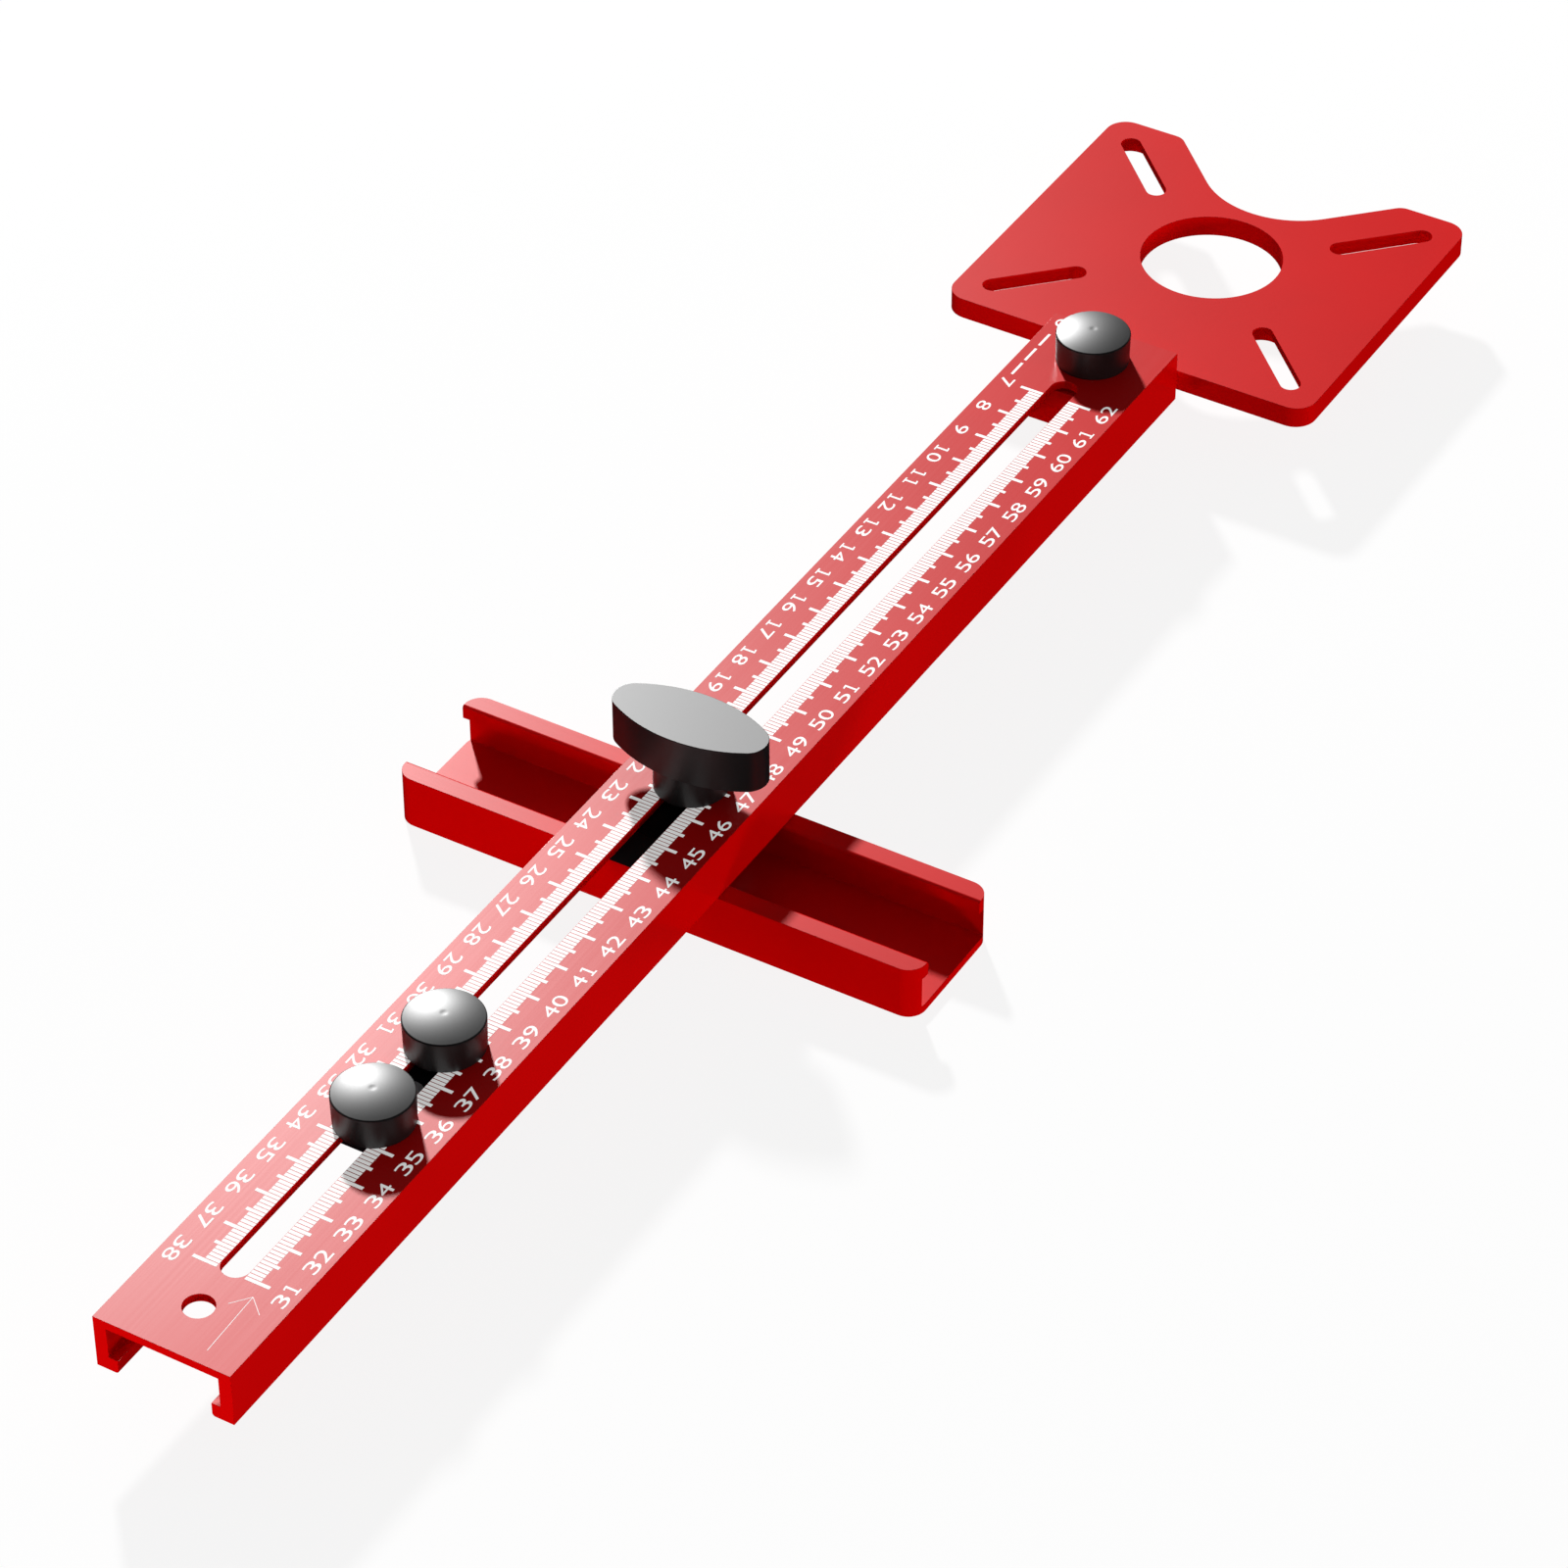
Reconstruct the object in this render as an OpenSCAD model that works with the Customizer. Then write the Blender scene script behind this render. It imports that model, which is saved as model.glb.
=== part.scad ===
// Router circle cutting jig: a slotted channel arm with a router plate at one end,
// a cross fence clamped below it and a sliding pivot for cutting circles.
// Millimetres. The origin is the centre of the router bit hole on the plate's top face.
// +Y points away from the arm, +Z points up, and the arm runs along -Y.

/* [Channel section] */
// Outer width of the lipped channel
section_w = 30; // [28:0.5:36]
// Outer height of the lipped channel
section_h = 12.2; // [11:0.1:16]
// Thickness of the channel's web
web_t = 1.9; // [1.4:0.1:2.4]
// Thickness of the channel's side walls
wall_t = 2.8; // [2:0.1:3.4]
// Height of the lips along the open side
lip_t = 3.2; // [2.4:0.1:3.6]
// Clear mouth between the two lips
lip_gap = 20.4; // [18:0.2:21]
// Rounding of the lips' corners at the mouth
lip_r = 0.7; // [0.3:0.1:1.1]

/* [Arm] */
// Length of the arm
arm_len = 360; // [340:5:480]
// Width of the slot along the arm's top
slot_w = 6; // [5.6:0.1:7]
// Distance from the arm's plate end to the slot
slot_far_inset = 21.3; // [20.5:0.1:26]
// Distance from the arm's free end to the slot
slot_near_inset = 20.7; // [18:0.1:26]
// Diameter of the two holes at the arm's ends
arm_hole_d = 6.2; // [5.6:0.1:7]
// Distance from the arm's plate end to its clamp hole
clamp_inset = 11.2; // [9:0.1:12]
// Distance from the arm's free end to its end hole
end_hole_inset = 11.8; // [8:0.1:14]

/* [Base plate] */
// Width of the plate across the arm
plate_w = 90; // [86:1:110]
// Depth of the plate along the arm
plate_d = 82; // [80:1:96]
// Thickness of the plate
plate_t = 5; // [4.4:0.1:6]
// Radius of the plate's corners
plate_corner_r = 5; // [2:0.5:8]
// Distance from the bit hole's centre to the plate's front edge
hole_to_front = 42.5; // [40:0.5:46]
// Diameter of the bit hole
bit_hole_d = 32; // [24:0.5:34]
// Space between the plate's front edge and the arm's end
arm_gap = 3; // [1:0.5:5]

/* [Tongue] */
// Length of the tongue beyond the plate's front edge
tongue_len = 25.2; // [22:0.1:34]
// Thickness of the tongue's flanges above the lips
tongue_flange_t = 1.7; // [1:0.1:2.4]
// Step down from the plate's top face to the tongue's top
tongue_relief = 0.3; // [0.2:0.1:0.6]
// Length of the tongue's root inside the plate
tongue_root = 4; // [2:1:8]

/* [Router screw slots] */
// Width of each screw slot
screw_slot_w = 4.6; // [4:0.1:5.4]
// Length of each screw slot from end to end
screw_slot_len = 24; // [16:0.5:25]
// Width of the recess for screw heads below each slot
screw_recess_w = 9; // [7:0.5:10]
// Depth of the recess for screw heads
screw_recess_depth = 3; // [2:0.1:3.4]
// Distance of the slots' middles from the plate's centre line
screw_slot_x = 30.2; // [29:0.1:32]
// Distance of the slots' middles from the plate's middle along the arm
screw_slot_y = 25.9; // [25:0.1:28]
// Slant of the slots
screw_slot_angle = 45; // [40:1:50]

/* [Sight notch] */
// Radius of the notch's round bottom
notch_r = 21; // [18:0.5:24]
// Distance from the bit hole's centre to the bottom of the notch
notch_bottom = 20.1; // [19:0.1:24]
// Angle of the notch's sides from the arm's direction
notch_angle = 45; // [40:1:50]
// Rounding of the corners at the notch's mouth
notch_mouth_r = 3.5; // [1:0.5:5]

/* [Small knobs] */
// Diameter of a small knob at its rim
knob_d = 16.3; // [14:0.1:20]
// Diameter of a small knob at its foot
knob_foot_d = 16; // [12:0.1:18]
// Height of a small knob to its rim
knob_h = 7; // [6:0.5:10]
// Rise of the domed top above the rim
knob_dome = 1.1; // [0.6:0.1:2]
// Radius of the small moulding mark in the middle of the top
knob_mark_r = 0.7; // [0.4:0.1:1]
// Depth of the moulding mark
knob_mark_depth = 0.25; // [0.1:0.05:0.5]
// Depth of the stud inside a small knob
knob_grip = 5; // [4:0.5:5.5]
// Diameter of every clamping stud
stud_d = 5; // [4:0.5:5.2]
// Length of a pivot stud below its bar
stud_tail = 1; // [0.5:0.1:1.5]

/* [Plate clamp] */
// Distance from the arm's plate end to the block between web and tongue
spacer_inset = 2.2; // [1:0.1:4]
// Length of the step at the block's near end
spacer_step_len = 2; // [1:0.1:3]
// Drop of the step below the arm's web
spacer_step_drop = 0.8; // [0.3:0.1:1.5]
// Diameter of the block's bore
spacer_bore_d = 5.6; // [5.4:0.1:6.4]

/* [Fence] */
// Length of the fence
fence_len = 121.3; // [110:0.1:300]
// Radius of the fence's corners seen from above
fence_corner_r = 4; // [1:0.5:8]
// Distance from the bit hole to the fence's centre line
fence_reach = 224; // [200:1:250]
// Place of the fence's middle across the arm as it is set
fence_set_x = -0.7; // [-3:0.1:3]

/* [Fence clamp] */
// Length of the carrier block along the arm
block_len = 32; // [26:1:36]
// Depth of the block's key in the fence's mouth
block_key_depth = 2.6; // [1.5:0.1:2.8]
// Diameter of the block's bore for the stud
block_bore_d = 5.8; // [5.4:0.1:7]
// Thickness of the clamp bar in the fence
clamp_bar_t = 3; // [2:0.5:4]
// Width of the clamp bar along the fence
clamp_bar_w = 16; // [10:1:24]
// Rounding of the clamp bar's and pivot bar's corners
bar_corner_r = 2; // [0.5:0.5:3]

/* [Fence knob] */
// Length of the oval head
head_len = 34.7; // [30:0.1:46]
// Width of the oval head
head_w = 15.6; // [13:0.1:20]
// Radius of the oval's two ends
head_end_r = 4.5; // [3.5:0.1:5.5]
// Thickness of the oval head
head_t = 9.8; // [6:0.2:12]
// Diameter of the stem under the head
stem_d = 15.2; // [13:0.1:17]
// Diameter of the stem at its foot
stem_foot_d = 15.4; // [12.5:0.1:17]
// Height of the stem
stem_h = 7; // [6:0.2:12]
// Outer diameter of the threaded insert
insert_d = 8; // [7:0.5:10]
// Length of the threaded insert
insert_len = 10; // [6:0.5:12]
// Reach of the stud into the insert
insert_grip = 9; // [5:0.5:9.5]
// Step up from the stem's foot to the insert
insert_recess = 0.3; // [0.1:0.1:1]

/* [Pivot] */
// Distance from the bit hole to the middle of the pivot bar
pivot_reach = 325; // [310:1:340]
// Distance between the pivot's two knobs
knob_pitch = 24; // [22:0.5:30]
// Thickness of the pivot bar
pivot_bar_t = 3; // [2:0.5:4]
// Length of the pivot bar beyond each knob's axis
pivot_bar_end = 4.3; // [4:0.1:7]
// Diameter of the pivot pin
pin_d = 6; // [4:0.5:8]
// Straight length of the pivot pin
pin_len = 7; // [5:0.5:12]
// Length of the pin's tapered tip
pin_tip = 1; // [0.5:0.5:2]
// Diameter of the pin's shoulder
pin_shoulder_d = 11; // [9:0.5:14]
// Diameter of the pin's spigot in the bar
pin_spigot_d = 5; // [4:0.5:6]

/* [Clearances] */
// Gap between flat faces that slide on each other
slide_gap = 0.1; // [0.05:0.05:0.2]
// Gap at each side of a piece that runs in a channel
side_gap = 0.2; // [0.1:0.05:0.4]
// Radial gap between a stud and its thread, drawn plain
thread_gap = 0.05; // [0.02:0.01:0.1]
// Radial gap of a pressed pin or stud, drawn as a light fit
press_gap = 0.02; // [0.01:0.01:0.05]

/* [Hidden] */
$fn = 96;
// Extra depth of a cut past the face it opens
over = 1;
// Overlap that lets an arc run out into a straight edge
blend = 0.001;

cavity_w = section_w - 2 * wall_t;
cavity_h = section_h - web_t - lip_t;
foot_w = (section_w - lip_gap) / 2;

lips_top_z = -tongue_relief - tongue_flange_t;
arm_bottom_z = lips_top_z - lip_t;
arm_top_z = arm_bottom_z + section_h;
web_under_z = arm_top_z - web_t;

plate_front_y = -hole_to_front;
plate_back_y = plate_front_y + plate_d;
plate_mid_y = (plate_front_y + plate_back_y) / 2;
arm_far_y = plate_front_y - arm_gap;
arm_near_y = arm_far_y - arm_len;
clamp_y = arm_far_y - clamp_inset;
end_hole_y = arm_near_y + end_hole_inset;
tongue_end_y = plate_front_y - tongue_len;

fence_y = -fence_reach;
fence_top_z = arm_bottom_z - slide_gap;
fence_lips_under_z = fence_top_z - lip_t;
clamp_bar_top_z = fence_lips_under_z - slide_gap;
clamp_bar_under_z = clamp_bar_top_z - clamp_bar_t;
key_w = lip_gap - 2 * side_gap;
runner_w = cavity_w - 2 * side_gap;
insert_z = arm_top_z + insert_recess;

pivot_y = -pivot_reach;
front_knob_y = pivot_y - knob_pitch / 2;
rear_knob_y = pivot_y + knob_pitch / 2;
pivot_bar_top_z = web_under_z - slide_gap;
pivot_bar_under_z = pivot_bar_top_z - pivot_bar_t;
pin_shoulder_z = arm_bottom_z + slide_gap;

thread_d = stud_d + 2 * thread_gap;

RED = [0.78, 0.03, 0.04];
BLACK = [0.07, 0.07, 0.07];
STEEL = [0.72, 0.73, 0.75];
BRASS = [0.80, 0.64, 0.30];

// A rectangle about the origin with round corners
module rounded_rect(w, d, r) {
    square([w, d - 2 * r], center = true);
    square([w - 2 * r, d], center = true);
    for (x = [-1, 1])
        for (y = [-1, 1])
            translate([x * (w / 2 - r), y * (d / 2 - r)])
                circle(r);
}

// A slot about the origin with round ends, along X, measured from end to end
module slot_2d(length, width) {
    square([length - width, width], center = true);
    for (x = [-1, 1])
        translate([x * (length - width) / 2, 0])
            circle(d = width);
}

// One foot of the channel: the wall's lower end and its inward lip, with a round corner at the mouth
module channel_foot() {
    translate([0, lip_r])
        square([foot_w, lip_t - lip_r]);
    square([foot_w - lip_r, lip_t]);
    translate([foot_w - lip_r, lip_r])
        circle(lip_r);
}

// Section of the lipped channel, web upward, with the open mouth on the X axis
module channel_section() {
    translate([-section_w / 2, section_h - web_t])
        square([section_w, web_t]);
    for (side = [0, 1])
        mirror([side, 0])
            translate([-section_w / 2, 0]) {
                channel_foot();
                translate([0, lip_t])
                    square([wall_t, cavity_h]);
            }
}

// A straight length of channel along Y about the origin, standing on its lips
module channel_bar(length) {
    translate([0, length / 2, 0])
        rotate([90, 0, 0])
            linear_extrude(length)
                channel_section();
}

module arm() {
    slot_len = arm_len - slot_far_inset - slot_near_inset;
    slot_mid_y = (arm_far_y - slot_far_inset + arm_near_y + slot_near_inset) / 2;
    color(RED)
        difference() {
            translate([0, arm_far_y - arm_len / 2, arm_bottom_z])
                channel_bar(arm_len);
            translate([0, slot_mid_y, web_under_z - over])
                linear_extrude(web_t + 2 * over)
                    rotate(90)
                        slot_2d(slot_len, slot_w);
            for (y = [clamp_y, end_hole_y])
                translate([0, y, web_under_z - over])
                    cylinder(h = web_t + 2 * over, d = arm_hole_d);
        }
}

// Piece of the notch that rounds one corner of its mouth
module notch_corner() {
    side = [sin(notch_angle), cos(notch_angle)];
    inward = [cos(notch_angle), -sin(notch_angle)];
    start = [0, notch_bottom + notch_r] + notch_r * inward;
    run = (plate_back_y - notch_mouth_r - start[1] - notch_mouth_r * inward[1]) / side[1];
    centre = start + run * side + notch_mouth_r * inward;
    past_side = centre - (notch_mouth_r + over) * inward;
    past_edge = centre + [0, notch_mouth_r + over];
    outer = past_side + (past_edge[1] - past_side[1]) / side[1] * side;
    difference() {
        polygon([centre, past_side, outer, past_edge]);
        translate(centre)
            circle(notch_mouth_r + blend);
    }
}

// Notch in the far edge: a round bottom that runs out into two straight sides
module sight_notch() {
    centre_y = notch_bottom + notch_r;
    start = [notch_r * cos(notch_angle), centre_y - notch_r * sin(notch_angle)];
    mouth_y = plate_back_y + over;
    mouth_x = start[0] + (mouth_y - start[1]) * tan(notch_angle);
    difference() {
        translate([0, centre_y])
            circle(notch_r);
        translate([-notch_r, mouth_y])
            square([2 * notch_r, 2 * notch_r]);
    }
    polygon([[-start[0], start[1]], start, [mouth_x, mouth_y], [-mouth_x, mouth_y]]);
    for (side = [0, 1])
        mirror([side, 0])
            notch_corner();
}

// The four slanted screw slots, or the wider recesses below them
module screw_slots(length, width) {
    for (x = [-1, 1])
        for (y = [-1, 1])
            translate([x * screw_slot_x, plate_mid_y + y * screw_slot_y])
                rotate(x * y * screw_slot_angle)
                    slot_2d(length, width);
}

// The plate seen from above, with its notch and screw slots
module plate_outline() {
    difference() {
        translate([0, plate_mid_y])
            rounded_rect(plate_w, plate_d, plate_corner_r);
        sight_notch();
        screw_slots(screw_slot_len, screw_slot_w);
    }
}

// Tongue with two flanges that rest on the arm's lips and a neck that fits between them
module tongue() {
    length = tongue_len + tongue_root;
    translate([-runner_w / 2, tongue_end_y, lips_top_z])
        cube([runner_w, length, tongue_flange_t]);
    translate([-key_w / 2, tongue_end_y, -plate_t])
        cube([key_w, length, plate_t - tongue_relief]);
}

module base_plate() {
    color(RED)
        difference() {
            union() {
                translate([0, 0, -plate_t])
                    linear_extrude(plate_t)
                        plate_outline();
                tongue();
            }
            translate([0, 0, -plate_t - over])
                cylinder(h = plate_t + 2 * over, d = bit_hole_d);
            translate([0, clamp_y, -plate_t - over])
                cylinder(h = plate_t + 2 * over, d = thread_d);
            translate([0, 0, -plate_t - over])
                linear_extrude(screw_recess_depth + over)
                    screw_slots(screw_slot_len + screw_recess_w - screw_slot_w, screw_recess_w);
        }
}

// Block that fills the channel between tongue and web under the plate's knob, with a step at its near end
module plate_spacer() {
    length = arm_far_y - spacer_inset - tongue_end_y;
    height = web_under_z + tongue_relief;
    color(RED)
        translate([0, tongue_end_y, -tongue_relief])
            difference() {
                translate([-runner_w / 2, 0, 0])
                    cube([runner_w, length, height]);
                translate([-runner_w / 2 - over, -over, height - spacer_step_drop])
                    cube([runner_w + 2 * over, spacer_step_len + over, spacer_step_drop + over]);
                translate([0, clamp_y - tongue_end_y, -over])
                    cylinder(h = height + 2 * over, d = spacer_bore_d);
            }
}

// A small knob on the arm's top, turned about Z at the given place along the arm
module small_knob(y) {
    rim_r = knob_d / 2;
    dome_r = (rim_r * rim_r + knob_dome * knob_dome) / (2 * knob_dome);
    mark_r = (knob_mark_r * knob_mark_r + knob_mark_depth * knob_mark_depth) / (2 * knob_mark_depth);
    top = knob_h + knob_dome;
    color(BLACK)
        translate([0, y, arm_top_z])
            rotate_extrude()
                difference() {
                    union() {
                        polygon([[0, 0], [knob_foot_d / 2, 0], [rim_r, knob_h], [0, knob_h]]);
                        intersection() {
                            translate([0, top - dome_r])
                                circle(dome_r);
                            translate([0, knob_h])
                                square([rim_r, knob_dome]);
                        }
                    }
                    translate([0, -over])
                        square([thread_d / 2, knob_grip + thread_gap + over]);
                    intersection() {
                        translate([0, top - knob_mark_depth + mark_r])
                            circle(mark_r);
                        translate([0, top - knob_mark_depth - over])
                            square([rim_r, knob_mark_depth + 2 * over]);
                    }
                }
}

// A clamping stud from the given height up into a small knob
module knob_stud(y, foot_z) {
    color(STEEL)
        translate([0, y, foot_z])
            cylinder(h = arm_top_z + knob_grip - foot_z, d = stud_d);
}

module plate_knob() {
    small_knob(clamp_y);
}

module plate_stud() {
    knob_stud(clamp_y, -plate_t + slide_gap);
}

module fence() {
    color(RED)
        translate([fence_set_x, fence_y, fence_top_z])
            intersection() {
                rotate([180, 0, 90])
                    channel_bar(fence_len);
                translate([0, 0, -section_h])
                    linear_extrude(section_h)
                        rounded_rect(fence_len, section_w, fence_corner_r);
            }
}

module fence_block() {
    top_z = web_under_z - slide_gap;
    runner_z = lips_top_z + slide_gap;
    key_z = fence_top_z - block_key_depth;
    color(BLACK)
        translate([0, fence_y, 0])
            difference() {
                union() {
                    translate([-runner_w / 2, -block_len / 2, runner_z])
                        cube([runner_w, block_len, top_z - runner_z]);
                    translate([-key_w / 2, -block_len / 2, arm_bottom_z])
                        cube([key_w, block_len, top_z - arm_bottom_z]);
                    translate([-key_w / 2, -key_w / 2, key_z])
                        cube([key_w, key_w, top_z - key_z]);
                }
                translate([0, 0, key_z - over])
                    cylinder(h = top_z - key_z + 2 * over, d = block_bore_d);
            }
}

module fence_clamp_bar() {
    color(STEEL)
        translate([0, fence_y, clamp_bar_under_z])
            difference() {
                linear_extrude(clamp_bar_t)
                    rounded_rect(clamp_bar_w, runner_w, bar_corner_r);
                translate([0, 0, -over])
                    cylinder(h = clamp_bar_t + 2 * over, d = stud_d + 2 * press_gap);
            }
}

module fence_stud() {
    color(STEEL)
        translate([0, fence_y, clamp_bar_under_z])
            cylinder(h = insert_z + insert_grip - clamp_bar_under_z, d = stud_d);
}

// Four-arc oval along X: two end arcs and two long side arcs that meet in line
module oval_2d() {
    half_len = head_len / 2;
    half_w = head_w / 2;
    end_x = half_len - head_end_r;
    reach = half_w - head_end_r;
    side_y = (end_x * end_x - reach * reach) / (2 * reach);
    side_r = half_w + side_y;
    meet_x = end_x * side_r / (side_r - head_end_r);
    intersection() {
        translate([0, side_y])
            circle(side_r, $fn = 4 * $fn);
        translate([0, -side_y])
            circle(side_r, $fn = 4 * $fn);
        square([2 * meet_x, head_w], center = true);
    }
    for (x = [-1, 1])
        translate([x * end_x, 0])
            circle(head_end_r);
}

module fence_knob() {
    color(BLACK)
        translate([0, fence_y, arm_top_z])
            difference() {
                union() {
                    cylinder(h = stem_h, d1 = stem_foot_d, d2 = stem_d);
                    translate([0, 0, stem_h])
                        linear_extrude(head_t)
                            oval_2d();
                }
                translate([0, 0, -over])
                    cylinder(h = insert_recess + insert_len + thread_gap + over, d = insert_d + 2 * thread_gap);
            }
}

module fence_knob_insert() {
    color(BRASS)
        translate([0, fence_y, insert_z])
            difference() {
                cylinder(h = insert_len, d = insert_d);
                translate([0, 0, -over])
                    cylinder(h = insert_len + 2 * over, d = thread_d);
            }
}

module pivot_bar() {
    bar_len = knob_pitch + 2 * pivot_bar_end;
    color(BLACK)
        translate([0, pivot_y, pivot_bar_under_z])
            difference() {
                linear_extrude(pivot_bar_t)
                    rounded_rect(runner_w, bar_len, bar_corner_r);
                for (y = [-1, 1])
                    translate([0, y * knob_pitch / 2, -over])
                        cylinder(h = pivot_bar_t + 2 * over, d = thread_d);
                translate([0, 0, -over])
                    cylinder(h = pivot_bar_t + 2 * over, d = pin_spigot_d + 2 * press_gap);
            }
}

module pivot_pin() {
    tip_z = pin_shoulder_z - pin_len;
    color(STEEL)
        translate([0, pivot_y, 0]) {
            translate([0, 0, pin_shoulder_z])
                cylinder(h = pivot_bar_under_z - pin_shoulder_z, d = pin_shoulder_d);
            translate([0, 0, pivot_bar_under_z])
                cylinder(h = pivot_bar_t, d = pin_spigot_d);
            translate([0, 0, tip_z])
                cylinder(h = pin_len, d = pin_d);
            translate([0, 0, tip_z - pin_tip])
                cylinder(h = pin_tip, d1 = pin_d - 2 * pin_tip, d2 = pin_d);
        }
}

module pivot_knob_front() {
    small_knob(front_knob_y);
}

module pivot_knob_rear() {
    small_knob(rear_knob_y);
}

module pivot_stud_front() {
    knob_stud(front_knob_y, pivot_bar_under_z - stud_tail);
}

module pivot_stud_rear() {
    knob_stud(rear_knob_y, pivot_bar_under_z - stud_tail);
}

arm();
base_plate();
plate_spacer();
plate_knob();
plate_stud();
fence();
fence_block();
fence_clamp_bar();
fence_stud();
fence_knob();
fence_knob_insert();
pivot_bar();
pivot_pin();
pivot_knob_front();
pivot_stud_front();
pivot_knob_rear();
pivot_stud_rear();
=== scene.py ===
"""Looks of a router circle cutting jig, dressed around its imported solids.

Metres, in the solids' own frame: the origin is the centre of the bit hole on the plate's top face,
the arm runs along -Y and +Z points up. Lengths written in the code are millimetres, and are turned
into metres when a mesh, a lamp or the camera is made. Angles are written in degrees.
"""

import math

import bmesh
import bpy
import numpy as np
from mathutils import Matrix, Vector


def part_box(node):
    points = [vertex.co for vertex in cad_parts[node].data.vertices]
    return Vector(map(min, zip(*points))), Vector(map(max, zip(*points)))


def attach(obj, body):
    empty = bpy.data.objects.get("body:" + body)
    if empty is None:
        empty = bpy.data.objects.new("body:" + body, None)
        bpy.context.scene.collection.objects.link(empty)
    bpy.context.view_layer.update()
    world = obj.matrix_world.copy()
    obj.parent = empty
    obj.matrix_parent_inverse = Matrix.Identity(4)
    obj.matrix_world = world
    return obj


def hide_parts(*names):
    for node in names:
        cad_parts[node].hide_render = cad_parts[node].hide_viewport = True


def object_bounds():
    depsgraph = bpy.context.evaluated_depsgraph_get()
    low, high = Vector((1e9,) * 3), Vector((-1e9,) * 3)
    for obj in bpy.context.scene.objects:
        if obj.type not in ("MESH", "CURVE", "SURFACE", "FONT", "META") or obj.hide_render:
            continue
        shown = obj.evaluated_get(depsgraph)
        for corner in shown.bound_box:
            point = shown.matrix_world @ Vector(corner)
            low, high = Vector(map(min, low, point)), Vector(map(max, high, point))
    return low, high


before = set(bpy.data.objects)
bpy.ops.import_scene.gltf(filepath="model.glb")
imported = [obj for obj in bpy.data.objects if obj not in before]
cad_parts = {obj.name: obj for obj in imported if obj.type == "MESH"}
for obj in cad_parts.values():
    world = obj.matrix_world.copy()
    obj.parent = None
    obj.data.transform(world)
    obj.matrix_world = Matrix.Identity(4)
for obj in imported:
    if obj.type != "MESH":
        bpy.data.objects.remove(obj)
cad_low, cad_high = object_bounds()

MM = 0.001
SMOOTH_BELOW = 35  # faces that meet at less than this are shaded as one surface


def middle_y(node):
    """Middle of a solid's box along the arm, in millimetres."""
    low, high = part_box(node)
    return (low[1] + high[1]) / 2 / MM


def low_high_z(node):
    """Lowest and highest point of a solid, in millimetres."""
    low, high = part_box(node)
    return low[2] / MM, high[2] / MM


ARM_BOTTOM, ARM_TOP = low_high_z("arm")


def link(name, data):
    """Puts a mesh, a lamp or the camera into the scene as an object at the origin."""
    obj = bpy.data.objects.new(name, data)
    bpy.context.scene.collection.objects.link(obj)
    return obj


def shade(mesh, smooth_below):
    """Shades a mesh smooth, with sharp edges where faces meet at more than the given angle."""
    mesh.shade_smooth()
    mesh.set_sharp_from_angle(angle=math.radians(smooth_below))


def mesh_of(name, points, faces, smooth_below=SMOOTH_BELOW):
    """A mesh of points in millimetres, smooth where faces meet at less than the given angle."""
    mesh = bpy.data.meshes.new(name)
    mesh.from_pydata((np.asarray(points) * MM).tolist(), [], faces)
    mesh.validate()
    shade(mesh, smooth_below)
    return mesh


def skin(name, rings, smooth_below=SMOOTH_BELOW):
    """A closed skin over a grid of rings: point (i, j) is ring i at side j.

    Each cell of the grid is one quad, side n joins side 0, and the first and last ring are closed by
    one flat face each. Rings that climb while their sides run anticlockwise face out.
    """
    count, sides = rings.shape[:2]
    i = np.arange(count - 1)[:, None] * sides
    j = np.arange(sides)[None, :]
    k = (j + 1) % sides
    quads = np.stack([i + j, i + k, i + k + sides, i + j + sides], axis=-1).reshape(-1, 4)
    last = (count - 1) * sides
    caps = [list(range(sides))[::-1], list(range(last, last + sides))]
    return mesh_of(name, rings.reshape(-1, 3), quads.tolist() + caps, smooth_below)


def rounded(points, radii, steps=5):
    """A polyline whose inner corners are arcs of the given radii.

    At each corner the arc's centre lies on the bisector at radius / sin(half angle), and the arc sweeps
    from one tangent point to the other, turned evenly. A guard point close to each end of the arc keeps
    the shading of the straight runs flat.
    """
    guard, nearly_straight = 0.06, math.radians(89.38)
    points = np.asarray(points, float)
    out = [points[:1]]
    for before, corner, after, radius in zip(points, points[1:], points[2:], radii):
        u = (before - corner) / np.linalg.norm(before - corner)
        v = (after - corner) / np.linalg.norm(after - corner)
        half = math.acos(np.clip(u @ v, -1, 1)) / 2
        if radius <= 0 or half > nearly_straight:
            out.append(corner[None])
            continue
        bisector = (u + v) / np.linalg.norm(u + v)
        centre = corner + bisector * radius / math.sin(half)
        start = corner + u * radius / math.tan(half) - centre
        end = corner + v * radius / math.tan(half) - centre
        sweep = math.pi - 2 * half
        share = np.linspace(0, 1, steps + 1)[:, None]
        turn = np.sin((1 - share) * sweep) * start + np.sin(share * sweep) * end
        out.append((centre + start + guard * u)[None])
        out.append(centre + turn / math.sin(sweep))
        out.append((centre + end + guard * v)[None])
    out.append(points[-1:])
    return np.concatenate(out)


def turned(name, profile, y, z, sides=96):
    """A piece turned on a lathe: each (radius, height) of the profile sweeps a circle about Z at (0, y)."""
    angle = np.arange(sides) * 2 * math.pi / sides
    radius, height = np.asarray(profile, float).T
    rings = np.stack([
        radius[:, None] * np.cos(angle),
        y + radius[:, None] * np.sin(angle),
        z + height[:, None] + 0 * angle,
    ], axis=-1)
    return link(name, skin(name, rings))


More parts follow.
